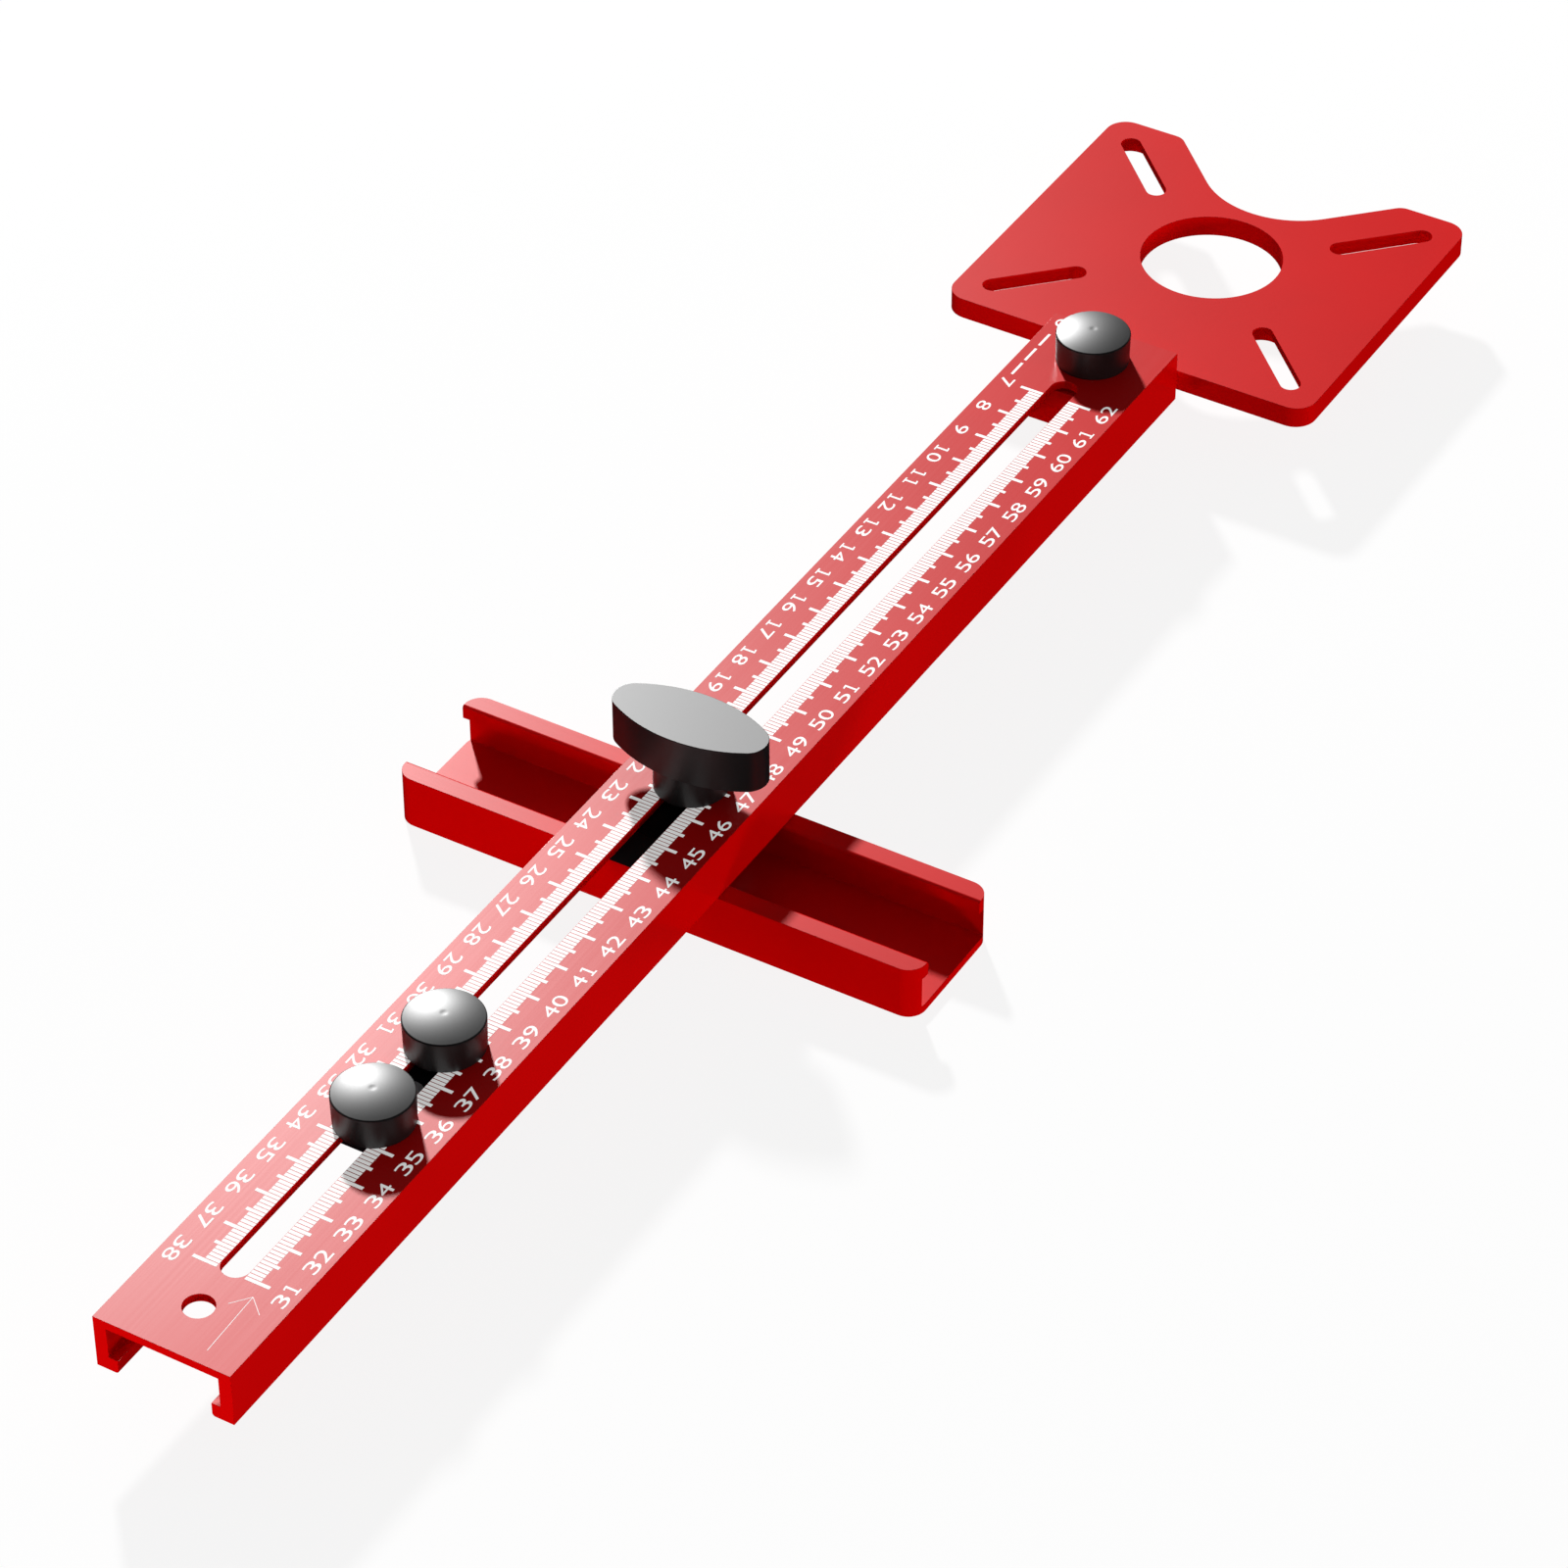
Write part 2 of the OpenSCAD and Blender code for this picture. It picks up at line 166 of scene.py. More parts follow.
def edged_copy(node, name, width, segments):
    """A merged copy of a solid's mesh with its sharp edges broken, flat for one segment and round for more.

    The triangles are merged into whole faces first, and each broken edge is cut back by the width on both
    sides. Weighted normals keep the large faces flat.
    """
    merge_within, same_plane = 1e-7, 0.5
    mesh = bpy.data.meshes.new(name)
    bm = bmesh.new()
    bm.from_mesh(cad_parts[node].data)
    bmesh.ops.remove_doubles(bm, verts=bm.verts, dist=merge_within)
    bmesh.ops.dissolve_limit(bm, angle_limit=math.radians(same_plane), verts=bm.verts, edges=bm.edges)
    sharp = [edge for edge in bm.edges if edge.calc_face_angle(0) > math.radians(SMOOTH_BELOW)]
    bmesh.ops.bevel(bm, geom=sharp, offset=width * MM, offset_type="OFFSET", segments=segments,
                    profile=0.5, affect="EDGES", clamp_overlap=True)
    bm.to_mesh(mesh)
    bm.free()
    for layer in ("custom_normal", "sharp_face", "sharp_edge"):
        if layer in mesh.attributes:
            mesh.attributes.remove(mesh.attributes[layer])
    shade(mesh, SMOOTH_BELOW)
    obj = link(name, mesh)
    flat = obj.modifiers.new("flat_faces", "WEIGHTED_NORMAL")
    flat.mode = "FACE_AREA"
    flat.weight = 100
    flat.keep_sharp = True
    return obj


def dress(obj, body, slot, material, *nodes):
    """Gives a piece its finish and its body, and hides the solids that it stands for."""
    obj.data.materials.clear()
    obj.data.materials.append(material)
    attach(obj, body)
    if nodes:
        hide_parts(*nodes)


# Finishes

def new_group(name, inputs, outputs):
    """An empty shader group with named sockets, and its two end nodes."""
    tree = bpy.data.node_groups.new(name, "ShaderNodeTree")
    for label, kind, value in inputs:
        socket = tree.interface.new_socket(label, in_out="INPUT", socket_type=kind)
        socket.default_value = value
    for label, kind in outputs:
        tree.interface.new_socket(label, in_out="OUTPUT", socket_type=kind)
    return tree, tree.nodes.new("NodeGroupInput"), tree.nodes.new("NodeGroupOutput")


def add(tree, kind, settings=None, **inputs):
    """A node with its settings, and its inputs set to values or linked to sockets.

    An input is named by its label with _ for each space, or by i and its number.
    """
    node = tree.nodes.new(kind)
    for key, value in (settings or {}).items():
        setattr(node, key, value)
    for key, value in inputs.items():
        label = int(key[1:]) if key[0] == "i" and key[1:].isdigit() else key.replace("_", " ")
        if isinstance(value, bpy.types.NodeSocket):
            tree.links.new(value, node.inputs[label])
        else:
            node.inputs[label].default_value = value
    return node


def math_node(tree, operation, *values):
    """The result of one arithmetic operation on values or sockets."""
    inputs = {"i%d" % k: value for k, value in enumerate(values)}
    return add(tree, "ShaderNodeMath", {"operation": operation}, **inputs).outputs[0]


def mixed(tree, share, first, second):
    """A value that goes from the first to the second as the share goes from 0 to 1."""
    return add(tree, "ShaderNodeMix", {"data_type": "FLOAT"}, i0=share, i2=first, i3=second).outputs[0]


def noise(tree, vector, scale, detail):
    """A noise value from 0 to 1 on the given coordinates."""
    return add(tree, "ShaderNodeTexNoise", Vector=vector, Scale=scale, Detail=detail).outputs["Fac"]


def surface_group():
    """Fine unevenness of a made surface.

    Broad clouds shift the colour between two tones, a fine grain and long drawn lines shift the
    roughness, and grain and lines together give the height for a bump.
    """
    cloud_scale = 30.0
    tree, start, end = new_group(
        "made_surface",
        [
            ("Tone A", "NodeSocketColor", (0.5, 0.5, 0.5, 1)),
            ("Tone B", "NodeSocketColor", (0.5, 0.5, 0.5, 1)),
            ("Grain Scale", "NodeSocketFloat", 4000.0),
            ("Line Stretch", "NodeSocketVector", (4000.0, 20.0, 4000.0)),
            ("Line Share", "NodeSocketFloat", 0.5),
            ("Roughness", "NodeSocketFloat", 0.4),
            ("Roughness Spread", "NodeSocketFloat", 0.05),
        ],
        [
            ("Colour", "NodeSocketColor"),
            ("Roughness", "NodeSocketFloat"),
            ("Height", "NodeSocketFloat"),
        ],
    )
    i = start.outputs
    place = add(tree, "ShaderNodeTexCoord").outputs["Object"]
    cloud = noise(tree, place, cloud_scale, 3.0)
    clear_cloud = add(tree, "ShaderNodeMapRange", Value=cloud, From_Min=0.3, From_Max=0.7).outputs["Result"]
    tone = add(tree, "ShaderNodeMix", {"data_type": "RGBA"}, i0=clear_cloud, i6=i["Tone A"], i7=i["Tone B"])
    grain = noise(tree, place, i["Grain Scale"], 2.0)
    stretched = add(tree, "ShaderNodeVectorMath", {"operation": "MULTIPLY"}, i0=place, i1=i["Line Stretch"])
    lines = noise(tree, stretched.outputs[0], 1.0, 2.0)
    relief = mixed(tree, i["Line Share"], grain, lines)
    centred = math_node(tree, "SUBTRACT", relief, 0.5)
    rough = math_node(tree, "MULTIPLY_ADD", centred, i["Roughness Spread"], i["Roughness"])
    tree.links.new(tone.outputs[2], end.inputs["Colour"])
    tree.links.new(rough, end.inputs["Roughness"])
    tree.links.new(relief, end.inputs["Height"])
    return tree


MADE_SURFACE = surface_group()


def finish_of(name, tones, roughness, spread, specular, bump, metallic=0.0, grain=4000.0,
              stretch=(4000.0, 20.0, 4000.0), line_share=0.5, glow=0.0, ior=1.5):
    """A finish whose colour, roughness and fine relief come from the made surface group. A glow also sends that
    colour out as light of its own, which is painted light.
    """
    material = bpy.data.materials.new(name)
    material.use_nodes = True
    tree = material.node_tree
    shader = tree.nodes["Principled BSDF"]
    shader.inputs["Metallic"].default_value = metallic
    shader.inputs["IOR"].default_value = ior
    shader.inputs["Specular IOR Level"].default_value = specular
    shader.inputs["Emission Strength"].default_value = glow
    group = tree.nodes.new("ShaderNodeGroup")
    group.node_tree = MADE_SURFACE
    for label, value in (
        ("Tone A", (*tones[0], 1)),
        ("Tone B", (*tones[1], 1)),
        ("Grain Scale", grain),
        ("Line Stretch", stretch),
        ("Line Share", line_share),
        ("Roughness", roughness),
        ("Roughness Spread", spread),
    ):
        group.inputs[label].default_value = value
    tree.links.new(group.outputs["Colour"], shader.inputs["Base Color"])
    if glow:
        tree.links.new(group.outputs["Colour"], shader.inputs["Emission Color"])
    tree.links.new(group.outputs["Roughness"], shader.inputs["Roughness"])
    relief = add(tree, "ShaderNodeBump", Strength=1.0, Distance=bump * MM, Height=group.outputs["Height"])
    tree.links.new(relief.outputs["Normal"], shader.inputs["Normal"])
    return material


DEEP_RED = ((0.655, 0.0, 0.0004), (0.605, 0.0, 0.0002))
BRIGHT_RED = ((0.70, 0.0, 0.0004), (0.65, 0.0, 0.0002))
KNOB_BLACK = ((0.008, 0.008, 0.0083), (0.006, 0.006, 0.0063))
NYLON_BLACK = ((0.004, 0.004, 0.004), (0.007, 0.007, 0.007))
BAR_BLACK = ((0.006, 0.006, 0.007), (0.004, 0.004, 0.005))
STEEL_GREY = ((0.62, 0.63, 0.65), (0.52, 0.53, 0.55))
BRASS_YELLOW = ((0.78, 0.58, 0.26), (0.70, 0.51, 0.22))
INK_WHITE_AND_GLOW = ((0.62, 0.62, 0.615), (0.58, 0.58, 0.575))

ANODISED = dict(roughness=0.217, spread=0.035, bump=0.0005, ior=1.65)
FENCE_ANODISED = dict(ANODISED, roughness=0.29)
MOULDED = dict(spread=0.08, bump=0.0008, grain=5000.0, line_share=0.0)
DRAWN_ALONG_Y = dict(stretch=(3000.0, 12.0, 3000.0), line_share=0.6)
DRAWN_ALONG_X = dict(stretch=(12.0, 3000.0, 3000.0), line_share=0.6)
LATHE_LINES = dict(spread=0.15, bump=0.002, stretch=(200.0, 200.0, 9000.0), line_share=0.7)

red_arm = finish_of("red_anodised_arm", BRIGHT_RED, specular=1.0, **ANODISED, **DRAWN_ALONG_Y)
red_fence = finish_of("red_anodised_fence", DEEP_RED, specular=0.155, **FENCE_ANODISED, **DRAWN_ALONG_X)
red_plate = finish_of("red_anodised_plate", BRIGHT_RED, specular=0.8, **ANODISED, line_share=0.15)
oval_black = finish_of("knob_black", KNOB_BLACK, roughness=0.42, specular=0.68, **MOULDED)
round_black = finish_of("small_knob_black", KNOB_BLACK, roughness=0.46, specular=0.95, **MOULDED)
nylon_black = finish_of("nylon_black", NYLON_BLACK, roughness=0.6, spread=0.15, specular=0.1, bump=0.006,
                        grain=3000.0, line_share=0.1)
bar_black = finish_of("bar_black", BAR_BLACK, roughness=0.5, spread=0.12, specular=0.2, bump=0.003)
steel = finish_of("steel", STEEL_GREY, roughness=0.36, specular=0.5, metallic=0.5, **LATHE_LINES)
brass = finish_of("brass", BRASS_YELLOW, roughness=0.28, specular=0.5, metallic=1.0, **LATHE_LINES)
# The ink's glow is painted light: it keeps the printed scale near white where shade falls on it.
ink = finish_of("white_ink_painted_glow", INK_WHITE_AND_GLOW, roughness=0.5, spread=0.15, specular=0.1, bump=0.0008,
                grain=6000.0, line_share=0.0, glow=0.7)


# Knobs, studs and the pin

def small_knob(name, y):
    """A small knob: a straight drum with a small round at foot and rim, a shallow dome and a centre mark.

    The dome is a circle arc through the rim and the crown. The mark lowers it by half a cosine wave. The
    foot stands a hair clear of the arm, so that it slides over the end hole without touching.
    """
    bore_r, bore_z, bore_end_r, foot_r, foot_z = 2.55, 5.05, 0.5, 8.0, 0.03
    rim_r, rim_z, rim_band, crown = 8.15, 7.0, 0.9, 1.1
    mark_r, mark_depth = 1.1, 0.05
    foot_round, rim_round = 0.2, 0.35
    dome_r = (rim_r ** 2 + crown ** 2) / (2 * crown)
    dome_rings, mark_rings = np.linspace(rim_r - rim_band, mark_r, 13), np.linspace(0.85, 0.1, 6)
    r = np.concatenate([dome_rings, mark_rings])
    dip = mark_depth * (1 + np.cos(math.pi * np.minimum(r / mark_r, 1))) / 2
    dome = np.stack([r, rim_z + crown - dome_r + np.sqrt(dome_r ** 2 - r ** 2) - dip], axis=1)
    wall = rounded(
        [
            (bore_end_r, bore_z), (bore_r, bore_z), (bore_r, foot_z), (foot_r, foot_z),
            (rim_r, rim_z), dome[0],
        ],
        [0, foot_round, foot_round, rim_round],
    )
    return turned(name, np.concatenate([wall, dome[1:]]), y, ARM_TOP)


def oval(half_len, half_w, end_r, count):
    """Points and outward normals of a four-arc oval along X, with even steps of direction on each arc.

    Two end arcs of end_r sit at the long ends, and two wide arcs join them without a corner.
    """
    end_x = half_len - end_r
    reach = half_w - end_r
    side_y = (end_x ** 2 - reach ** 2) / (2 * reach)
    side_r = half_w + side_y
    turn_at = math.atan2(side_y, end_x)
    quarter = np.concatenate([
        np.linspace(0, turn_at, count // 8, endpoint=False),
        np.linspace(turn_at, math.pi / 2, count // 8, endpoint=False),
    ])
    half = np.concatenate([quarter, [math.pi / 2], math.pi - quarter[:0:-1]])
    direction = np.concatenate([half, half + math.pi])
    normal = np.stack([np.cos(direction), np.sin(direction)], axis=1)
    on_side = np.abs(normal[:, 1]) > math.sin(turn_at)
    side_centre = np.stack([0 * direction, -side_y * np.sign(normal[:, 1])], axis=1)
    end_centre = np.stack([end_x * np.sign(normal[:, 0]), 0 * direction], axis=1)
    centre = np.where(on_side[:, None], side_centre, end_centre)
    return centre + normal * np.where(on_side, side_r, end_r)[:, None], normal


def fence_knob(name, y):
    """The large knob: a bored stem that runs into a thick oval head with crisp edges.

    Each ring is the oval drawn in along its normals, or a circle at the oval's own angles. The head's two
    edges are quarter rounds, stepped evenly in angle.
    """
    outline, normal = oval(half_len=17.35, half_w=7.8, end_r=4.5, count=96)
    polar = np.arctan2(outline[:, 1], outline[:, 0])
    head_z, top_z, edge_r, guard = 7.0, 16.8, 0.08, 0.05
    bore_r, bore_z, bore_end_r = 4.05, 10.35, 1.0
    foot_r, neck_r, foot_round = 7.7, 7.6, 0.3
    top_insets = (edge_r + guard, 1.5, 3.0)

    def circle(radius, z):
        return np.stack([radius * np.cos(polar), radius * np.sin(polar), z + 0 * polar], axis=1)

    def drawn_in(inset, z):
        return np.stack([*(outline - inset * normal).T, z + 0 * polar], axis=1)

    stem = rounded(
        [(bore_end_r, bore_z), (bore_r, bore_z), (bore_r, 0), (foot_r, 0), (neck_r, head_z)],
        [0, foot_round, foot_round],
    )
    rings = [circle(r, z) for r, z in stem]
    quarter = np.linspace(0, math.pi / 2, 4)
    rings += [drawn_in(edge_r + guard, head_z)]
    rings += [drawn_in(edge_r * (1 - math.sin(a)), head_z + edge_r * (1 - math.cos(a))) for a in quarter]
    rings += [drawn_in(0, head_z + edge_r + guard), drawn_in(0, top_z - edge_r - guard)]
    rings += [drawn_in(edge_r * (1 - math.cos(a)), top_z - edge_r * (1 - math.sin(a))) for a in quarter]
    rings += [drawn_in(inset, top_z) for inset in top_insets]
    return link(name, skin(name, np.array(rings) + np.array([0, y, ARM_TOP])))


def threaded_stud(name, y, low, high):
    """A stud with a thread: radius less depth times a wave of height over pitch less angle over a turn.

    The wave is a zigzag with its crests and roots cut flat. Both ends of the stud are bevelled, and a row
    of the grid falls every eighth of a pitch.
    """
    radius, pitch, depth, bevel = 2.5, 0.8, 0.42, 0.6
    steepness, crest_flat = 1.25, 0.1
    sides, rows_per_pitch, smooth_below = 40, 8, 50
    rows = int(round((high - low) / pitch * rows_per_pitch))
    height = np.linspace(low, high, rows + 1)
    angle = np.arange(sides) * 2 * math.pi / sides
    phase = (height[:, None] / pitch - angle / (2 * math.pi)) % 1
    wave = np.clip(np.abs(2 * phase - 1) * steepness - crest_flat, 0, 1)
    to_end = np.minimum(height - low, high - height)[:, None]
    r = np.minimum(radius - depth * wave, radius - bevel + to_end)
    rings = np.stack([r * np.cos(angle), y + r * np.sin(angle), height[:, None] + 0 * angle], axis=-1)
    return link(name, skin(name, rings, smooth_below))


def pivot_pin(name, y):
    """The pin, turned: a tapered tip, a straight shank, a broad shoulder and a spigot in the bar.

    Its edges have small rounds.
    """
    low, high = low_high_z("pivot_pin")
    bar_bottom = low_high_z("pivot_bar")[0]
    shoulder_z = ARM_BOTTOM + 0.1
    end_r, tip_r, shank_r, shoulder_r, spigot_r, taper = 0.3, 2.0, 3.0, 5.5, 2.5, 1.0
    profile = rounded(
        [
            (end_r, low), (tip_r, low), (shank_r, low + taper), (shank_r, shoulder_z),
            (shoulder_r, shoulder_z), (shoulder_r, bar_bottom), (spigot_r, bar_bottom),
            (spigot_r, high), (end_r, high),
        ],
        [0.25, 0.3, 0.2, 0.35, 0.2, 0, 0.2],
    )
    return turned(name, profile, y, 0)


# Printed scale

INK_LOW, INK_HIGH = ARM_TOP - 0.005, ARM_TOP + 0.02
INK_SMOOTH_BELOW = 30
SCALE_ZERO = -3.5  # the scale's zero along the arm
FIRST, LAST = 7, 38  # the left row's centimetres
PAIR_SUM = 69  # the two numbers at one mark add up to this
TICK_INNER, TICK_WIDTH = 3.1, 0.8
TICK_REACH, FIFTH_REACH, TENTH_REACH = 6.1, 7.1, 8.45
NUMBER_X, ZERO_Y = 12.05, -48.3
DASH_X, DASH_WIDTH = -12.4, 0.6
DASHES = ((-70.4, -65.7), (-64.5, -59.5), (-58.1, -53.3))
ARROW_TIP, ARROW_WIDTH = (7.1, -386.9), 0.12
ARROW_ENDS = ((7.7, -402.1), (4.2, -390.5), (10.7, -390.1))
DIGIT_W, DIGIT_H, DIGIT_STEP = 3.05, 3.0, 3.5
ONE_SHARE = 0.62  # width of the figure one against the others
ONE = (
    (0.08, 0.83), (0.28, 0.88), (0.28, 0.11), (0.10, 0.11), (0.10, 0), (0.62, 0),
    (0.62, 0.11), (0.43, 0.11), (0.43, 1), (0.29, 1), (0.08, 0.95),
)
BOX_FACES = np.array([
    [3, 2, 1, 0], [4, 5, 6, 7], [0, 1, 5, 4], [1, 2, 6, 5], [2, 3, 7, 6], [3, 0, 4, 7],
])


def ink_boxes(name, quads):
    """Printed marks: each flat quad, at the lower and upper face of the ink, makes one thin closed box."""
    levels = [np.insert(quads, 2, z, axis=2) for z in (INK_LOW, INK_HIGH)]
    points = np.concatenate(levels, axis=1).reshape(-1, 3)
    faces = (BOX_FACES + 8 * np.arange(len(quads))[:, None, None]).reshape(-1, 4)
    return link(name, mesh_of(name, points, faces.tolist(), INK_SMOOTH_BELOW))


def scale_ticks(name):
    """Two rows of millimetre ticks beside the slot: the fifth ones are longer and the tenth ones longest."""
    step = np.arange(FIRST * 10, LAST * 10 + 1)
    reach = np.where(step % 10 == 0, TENTH_REACH, np.where(step % 5 == 0, FIFTH_REACH, TICK_REACH))
    inner = TICK_INNER + 0 * reach
    y0, y1 = SCALE_ZERO - step - TICK_WIDTH / 2, SCALE_ZERO - step + TICK_WIDTH / 2
    rows = [
        [(x0, y0), (x1, y0), (x1, y1), (x0, y1)]
        for x0, x1 in ((inner, reach), (-reach, -inner))
    ]
    return ink_boxes(name, np.concatenate([np.array(row).transpose(2, 0, 1) for row in rows]))


def strokes(name, ends, width):
    """Printed strokes: the line between each pair of end points, widened by half the width to both sides."""
    a, b = np.asarray(ends, float).transpose(1, 0, 2)
    along = (b - a) / np.linalg.norm(b - a, axis=1, keepdims=True)
    side = np.stack([-along[:, 1], along[:, 0]], axis=1) * width / 2
    return ink_boxes(name, np.stack([a - side, b - side, b + side, a + side], axis=1))


def slab(outline):
    """A flat outline as a slab: the outline at both faces, with one quad along each of its sides."""
    count = len(outline)
    ring = np.arange(count)
    after = (ring + 1) % count
    points = np.concatenate([np.insert(np.array(outline, float), 2, z, axis=1) for z in (-0.5, 0.5)])
    sides = np.stack([ring, after, after + count, ring + count], axis=1)
    return points, [ring[::-1].tolist(), (ring + count).tolist()] + sides.tolist()


def drawn_digit(digit):
    """Points and faces of one digit of the built-in letterform, as a closed slab."""
    curve = bpy.data.curves.new("digit", "FONT")
    curve.body = digit
    curve.extrude = 0.5
    curve.resolution_u = 4
    holder = link("digit", curve)
    bpy.context.view_layer.update()
    mesh = bpy.data.meshes.new_from_object(holder)
    bm = bmesh.new()
    bm.from_mesh(mesh)
    bmesh.ops.remove_doubles(bm, verts=bm.verts, dist=1e-5)
    bm.to_mesh(mesh)
    bm.free()
    points = np.empty(3 * len(mesh.vertices), np.float32)
    mesh.vertices.foreach_get("co", points)
    faces = [list(face.vertices) for face in mesh.polygons]
    bpy.data.objects.remove(holder)
    bpy.data.curves.remove(curve)
    bpy.data.meshes.remove(mesh)
    return points.reshape(-1, 3).astype(float), faces


def digit_shapes():
    """Each digit fitted to the printed size: wide, low figures about their middle, one ink layer thick."""
    shapes = {}
    for digit in "0123456789":
        is_one = digit == "1"
        points, faces = slab(ONE) if is_one else drawn_digit(digit)
        low, high = points.min(0), points.max(0)
        size = np.array([DIGIT_W * (ONE_SHARE if is_one else 1), DIGIT_H, INK_HIGH - INK_LOW])
        shapes[digit] = ((points - (low + high) / 2) / (high - low) * size, faces)
    return shapes


def scale_numbers(name):
    """Centimetre numbers outside the ticks, with their tops towards the slot on both sides.

    The right row reads along +Y, which is a quarter turn left, and the left row along -Y.
    """
    shapes = digit_shapes()
    points, faces, count = [], [], 0
    marks = [(n, SCALE_ZERO - 10 * n) for n in range(FIRST, LAST + 1)]
    places = [(str(PAIR_SUM - n), y, 1) for n, y in marks]
    places += [(str(n), y, -1) for n, y in marks]
    places.append(("0", ZERO_Y, -1))
    for number, y, side in places:
        for k, digit in enumerate(number):
            shape, digit_faces = shapes[digit]
            along = shape[:, 0] + DIGIT_STEP * (k - (len(number) - 1) / 2)
            points.append(np.stack([
                side * NUMBER_X - side * shape[:, 1],
                y + side * along,
                shape[:, 2] + (INK_LOW + INK_HIGH) / 2,
            ], axis=1))
            faces += [[count + v for v in face] for face in digit_faces]
            count += len(shape)
    return link(name, mesh_of(name, np.concatenate(points), faces, INK_SMOOTH_BELOW))


# Dressing: each piece takes the place of its solid and rides on that solid's body

RED_BREAK, DULL_BREAK, INSERT_BREAK = (0.06, 1), (0.25, 2), (0.2, 2)  # width and segments of edge breaks
for node, piece, edge_break, body, slot, finish in (
    ("arm", "arm_channel", RED_BREAK, "rule", "red_anodised", red_arm),
    ("base_plate", "router_plate", RED_BREAK, "rule", "red_anodised", red_plate),
    ("plate_spacer", "spacer_block", RED_BREAK, "rule", "red_anodised", red_arm),
    ("fence", "fence_channel", RED_BREAK, "fence_rail", "red_anodised", red_fence),
    ("fence_block", "carrier_block", DULL_BREAK, "fence_carriage", "nylon_black", nylon_black),
    ("fence_clamp_bar", "clamp_plate", DULL_BREAK, "fence_carriage", "steel", steel),
    ("pivot_bar", "pivot_plate", DULL_BREAK, "pivot_carriage", "bar_black", bar_black),
    ("fence_knob_insert", "threaded_insert", INSERT_BREAK, "fence_nut", "brass", brass),
):
    dress(edged_copy(node, piece, *edge_break), body, slot, finish, node)
dress(pivot_pin("centre_pin", middle_y("pivot_bar")), "pivot_carriage", "steel", steel, "pivot_pin")
dress(fence_knob("oval_knob", middle_y("fence_knob")), "fence_handle", "knob_black", oval_black, "fence_knob")
for node, body, piece in (
    ("plate_knob", "plate_handle", "round_knob_plate"),
    ("pivot_knob_front", "front_handle", "round_knob_front"),
    ("pivot_knob_rear", "rear_handle", "round_knob_rear"),
):
    dress(small_knob(piece, middle_y(node)), body, "knob_black", round_black, node)
for node, body, piece in (
    ("plate_stud", "plate_screw", "thread_plate"),
    ("fence_stud", "fence_carriage", "thread_fence"),
    ("pivot_stud_front", "front_screw", "thread_front"),
    ("pivot_stud_rear", "rear_screw", "thread_rear"),
):
    dress(threaded_stud(piece, middle_y(node), *low_high_z(node)), body, "steel", steel, node)
for print_piece in (
    scale_ticks("scale_ticks"),
    scale_numbers("scale_numbers"),
    strokes("scale_dashes", [((DASH_X, a), (DASH_X, b)) for a, b in DASHES], DASH_WIDTH),
    strokes("scale_arrow", [(end, ARROW_TIP) for end in ARROW_ENDS], ARROW_WIDTH),
):
    dress(print_piece, "rule", None, ink)


# Floor, surroundings, lamps and camera

MIRROR_DARK = 0.004  # what mirrors see of the floor and of the surroundings above
FLOOR_HALF, FLOOR_GAP = 6000.0, 0.1


def seen_rays(tree):
    """One for rays that come from the camera, straight or through glass, and one for mirrored rays."""
    path = tree.nodes.new("ShaderNodeLightPath").outputs
    return math_node(tree, "MAXIMUM", path["Is Camera Ray"], path["Is Transmission Ray"]), path["Is Glossy Ray"]


def mixed_shader(tree, share, first, second):
    """A shader that goes from the first to the second as the share goes from 0 to 1."""
    return add(tree, "ShaderNodeMixShader", i0=share, i1=first, i2=second).outputs[0]


def floor_finish():
    """Pale floor: near white with the object's shadow to the camera, and dark to mirrors.

    It is clear to soft light and from below. The light that a floor throws up comes from the lamps below
    it instead, so that it also reaches the faces that rest on the floor.
    """
    grey, glow_share = 0.9, 0.88
    material = bpy.data.materials.new("pale_floor")
    material.use_nodes = True
    tree = material.node_tree
    tree.nodes.clear()
    seen, mirrored = seen_rays(tree)
    paint = add(tree, "ShaderNodeBsdfDiffuse", Color=(grey, grey, grey, 1)).outputs[0]
    glow = add(tree, "ShaderNodeEmission", Color=(1, 1, 1, 1), Strength=1.0).outputs[0]
    dark = add(tree, "ShaderNodeEmission", Color=(1, 1, 1, 1), Strength=MIRROR_DARK).outputs[0]
    clear = tree.nodes.new("ShaderNodeBsdfTransparent").outputs[0]
    back = tree.nodes.new("ShaderNodeNewGeometry").outputs["Backfacing"]
    pale = mixed_shader(tree, glow_share, paint, glow)
    above = mixed_shader(tree, mirrored, mixed_shader(tree, seen, clear, pale), dark)
    add(tree, "ShaderNodeOutputMaterial", Surface=mixed_shader(tree, back, above, clear))
    return material


floor_z = cad_low.z / MM - FLOOR_GAP
corners = [(x * FLOOR_HALF, y * FLOOR_HALF, floor_z) for x, y in ((-1, -1), (1, -1), (1, 1), (-1, 1))]
floor = link("floor", mesh_of("floor", corners, [[0, 1, 2, 3]]))
floor.data.materials.append(floor_finish())


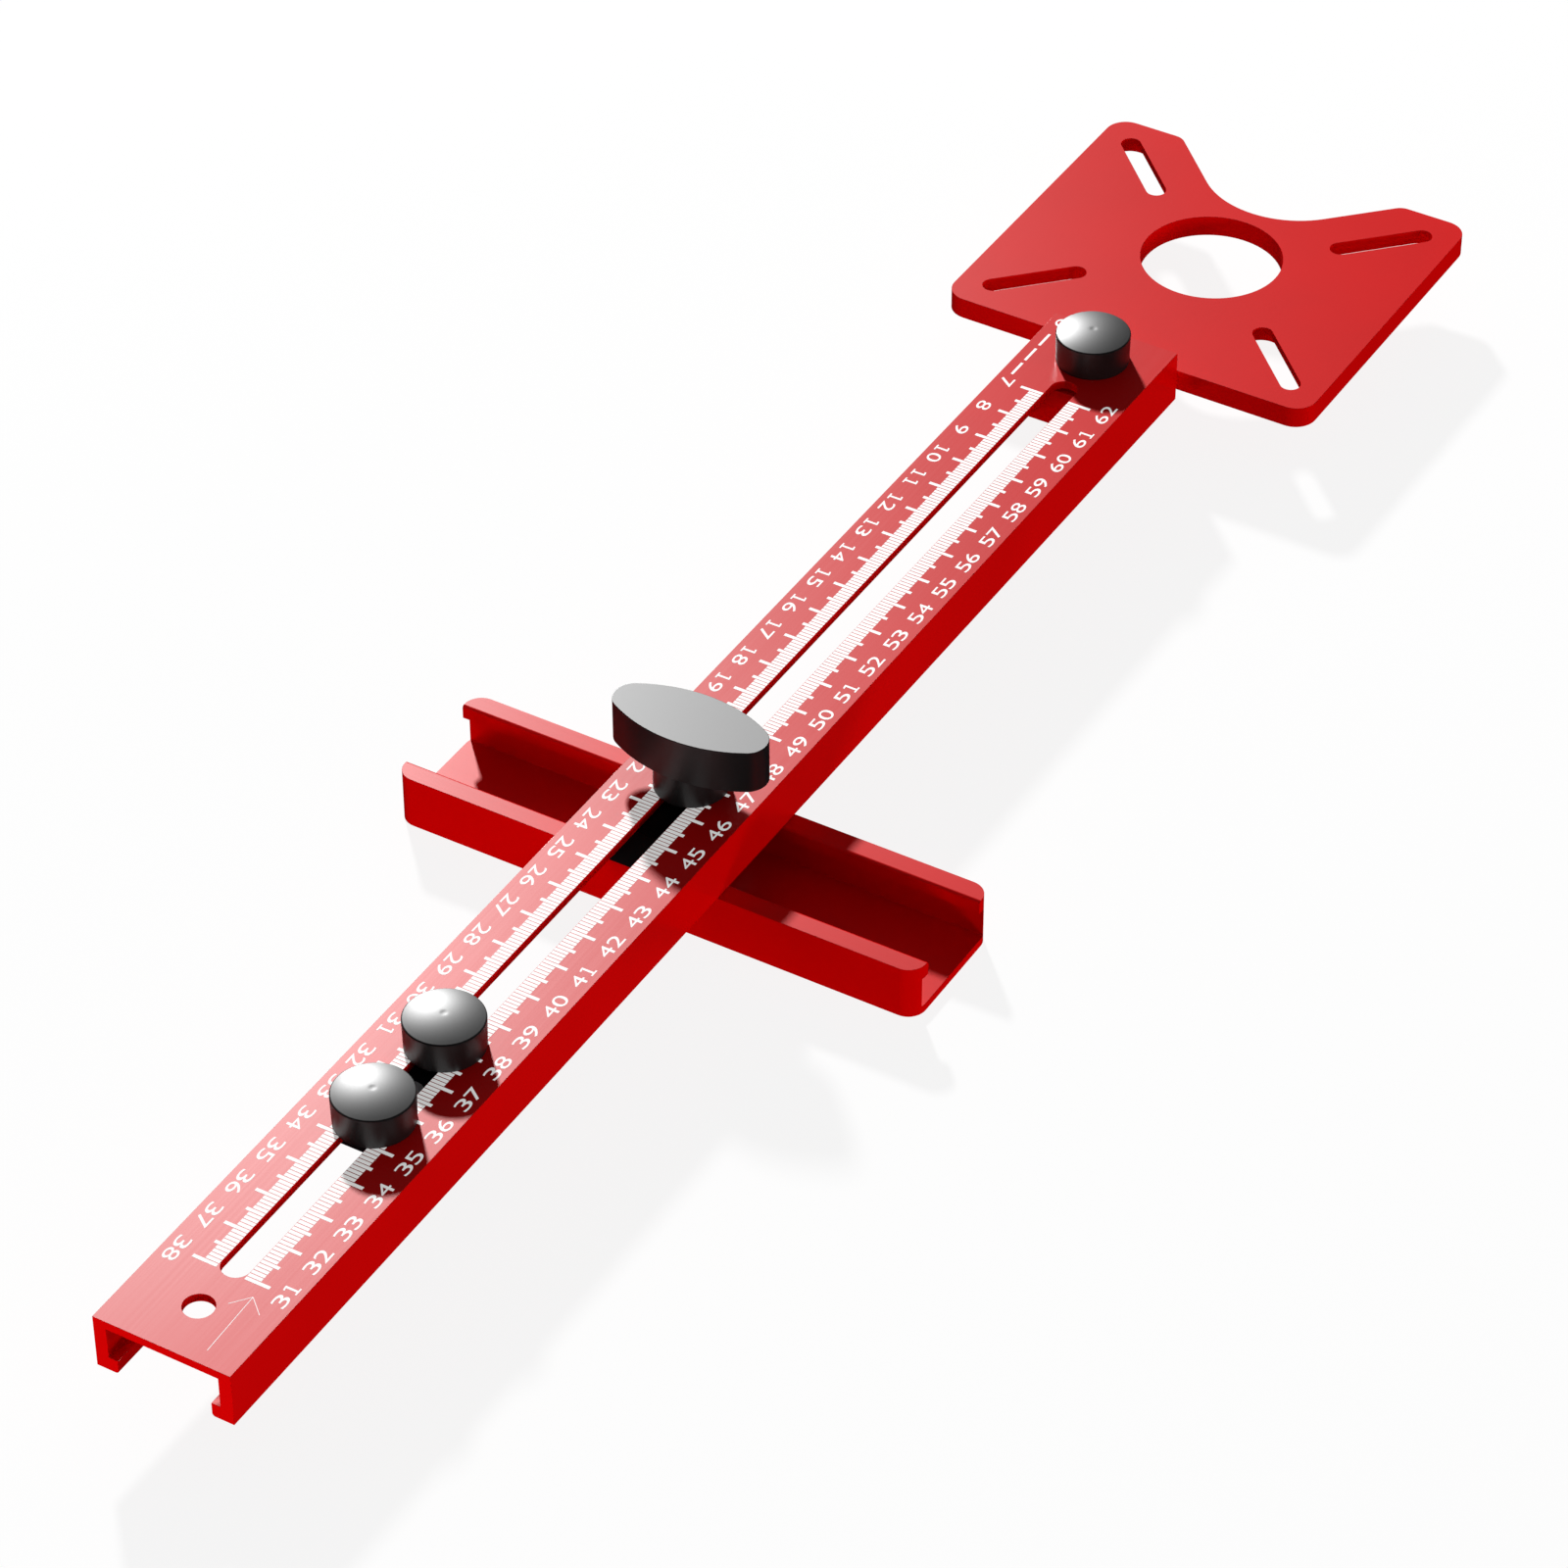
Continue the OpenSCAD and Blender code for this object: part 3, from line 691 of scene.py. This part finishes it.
def studio_world():
    """White surroundings to the camera, dark to mirrors from above, and a soft light from above."""
    soft_above, mirror_below, horizon = 0.16, 0.6, 0.1
    world = bpy.data.worlds.new("studio")
    bpy.context.scene.world = world
    world.use_nodes = True
    world.cycles.sampling_method = "NONE"
    tree = world.node_tree
    tree.nodes.clear()
    seen, mirrored = seen_rays(tree)
    direction = add(tree, "ShaderNodeTexCoord").outputs["Generated"]
    climb = add(tree, "ShaderNodeSeparateXYZ", Vector=direction).outputs["Z"]

    def by_height(below, above):
        return add(tree, "ShaderNodeMapRange", Value=climb, From_Min=-horizon, From_Max=horizon,
                   To_Min=below, To_Max=above).outputs["Result"]

    unseen = mixed(tree, mirrored, by_height(0.0, soft_above), by_height(mirror_below, MIRROR_DARK))
    sky = add(tree, "ShaderNodeBackground", Color=(1, 1, 1, 1), Strength=mixed(tree, seen, unseen, 1.0))
    add(tree, "ShaderNodeOutputWorld", Surface=sky.outputs[0])


def lamp(name, place, aim, size, level, glossy=False):
    """An area lamp at a place in millimetres, with its power set for the given irradiance over pi at its aim.

    A lamp that isn't glossy lights surfaces without showing in their gloss.
    """
    place, aim = Vector(place) * MM, Vector(aim) * MM
    back = place - aim
    light = bpy.data.lights.new(name, "AREA")
    light.shape = "DISK"
    light.size = size * MM
    light.energy = level * math.pi ** 2 * (back.length_squared + (light.size / 2) ** 2)
    light.cycles.use_multiple_importance_sampling = glossy
    obj = link(name, light)
    obj.location = place
    obj.rotation_mode = "QUATERNION"
    obj.rotation_quaternion = back.to_track_quat("Z", "Y")
    obj.visible_camera = False
    obj.visible_glossy = glossy


ARM_MIDDLE = (0, -200, 0)


def far(bearing, elevation):
    """A far place in millimetres as seen from the arm's middle. Bearing is measured from +Y towards -X."""
    distance = 4000.0
    b, e = math.radians(bearing), math.radians(elevation)
    across = math.cos(e) * distance
    return -math.sin(b) * across, math.cos(b) * across + ARM_MIDDLE[1], math.sin(e) * distance


studio_world()
lamp("key", far(43.5, 29), ARM_MIDDLE, size=280, level=1.62, glossy=True)
lamp("side", far(270, 4), ARM_MIDDLE, size=900, level=0.44)
for bearing in (45, 135, 225, 315):
    lamp("below_%d" % bearing, far(bearing, -30), ARM_MIDDLE, size=1200, level=0.268)
lamp("front", (-100, -700, 5), (0, -400, 0), size=150, level=0.68)


def photo_camera():
    """Camera fitted to the printed scale: a target on the arm, a bearing, an elevation and a small roll."""
    target, distance = Vector((15.83, -214.75, 7.0)) * MM, 1164.53 * MM
    azimuth, elevation, roll = (math.radians(a) for a in (30.79, 39.72, -0.24))
    focal_px, image_px, sensor = 5996.88, 1600, 36.0
    across = math.cos(elevation)
    back = Vector((math.sin(azimuth) * across, -math.cos(azimuth) * across, math.sin(elevation)))
    right = Vector((0, 0, 1)).cross(back).normalized()
    up = back.cross(right)
    rolled_right = math.cos(roll) * right + math.sin(roll) * up
    rolled_up = math.cos(roll) * up - math.sin(roll) * right
    data = bpy.data.cameras.new("camera")
    data.sensor_fit = "HORIZONTAL"
    data.sensor_width = sensor
    data.lens = focal_px / image_px * sensor
    data.clip_start, data.clip_end = 0.05, 50
    camera = link("camera", data)
    camera.matrix_world = Matrix((rolled_right, rolled_up, back)).transposed().to_4x4()
    camera.location = target + back * distance
    bpy.context.scene.camera = camera


photo_camera()
bpy.context.scene.view_settings.view_transform = "Standard"
